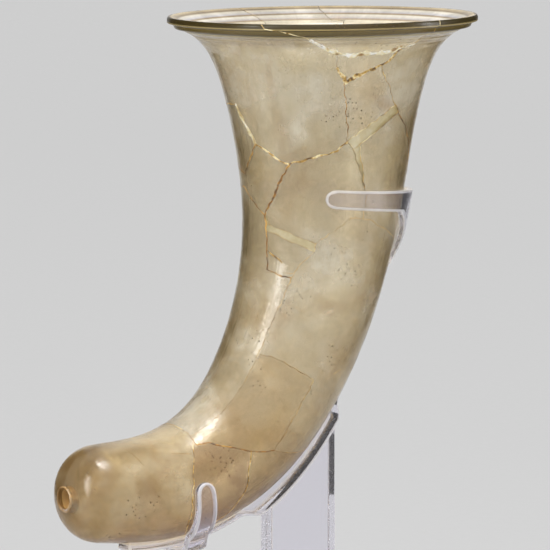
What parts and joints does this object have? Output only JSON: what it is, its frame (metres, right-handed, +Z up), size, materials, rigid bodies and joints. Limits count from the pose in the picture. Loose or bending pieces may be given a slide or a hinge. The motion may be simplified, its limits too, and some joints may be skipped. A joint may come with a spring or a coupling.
{
  "type": "horn-shaped drinking cup on a display mount",
  "caption": "Mended horn-shaped glass drinking cup with a flared mouth and a drilled outlet in its closed end, held in a clear claw mount on a flat base.",
  "frame": {"origin": "centre of the underside of the base plate", "axes": "+Z up through the mouth; the horn bends in the XZ plane and its closed end points to -X"},
  "size_m": [0.1853, 0.1243, 0.2571],
  "materials": {
    "honey_glass": "weathered translucent honey-olive glass with pale weathering films",
    "brown_glass": "weathered translucent brown glass",
    "resin": "translucent yellowed filling resin",
    "acrylic": "clear polished sheet",
    "steel": "plain turned"
  },
  "bodies": {
    "stand": {"base_plate": "acrylic", "post": "acrylic", "rail": "acrylic", "upper_claw": "acrylic", "lower_claw": "acrylic", "base_screws": "steel"},
    "cup": {"rim_front_sherd": "honey_glass", "upper_left_sherd": "honey_glass", "throat_sherd": "honey_glass", "upper_right_sherd": "honey_glass", "centre_upper_sherd": "honey_glass", "centre_left_sherd": "honey_glass", "centre_right_sherd": "honey_glass", "left_wedge_sherd": "honey_glass", "left_middle_sherd": "honey_glass", "small_sherd": "honey_glass", "left_long_sherd": "honey_glass", "main_right_sherd": "honey_glass", "lower_centre_sherd": "honey_glass", "brown_sherd": "brown_glass", "lower_right_sherd": "honey_glass", "back_upper_sherd": "honey_glass", "back_middle_sherd": "honey_glass", "back_lower_sherd": "honey_glass", "back_end_sherd": "honey_glass", "bulb_sherd": "honey_glass", "resin_fill_upper": "resin", "resin_fill_wedge": "resin", "resin_fill_middle": "resin"}
  },
  "joints": [
    {"name": "cup_lift", "type": "slide", "parent": "stand", "child": "cup", "axis": [0, 0, 1], "range_m": [0, 0.15]}
  ]
}
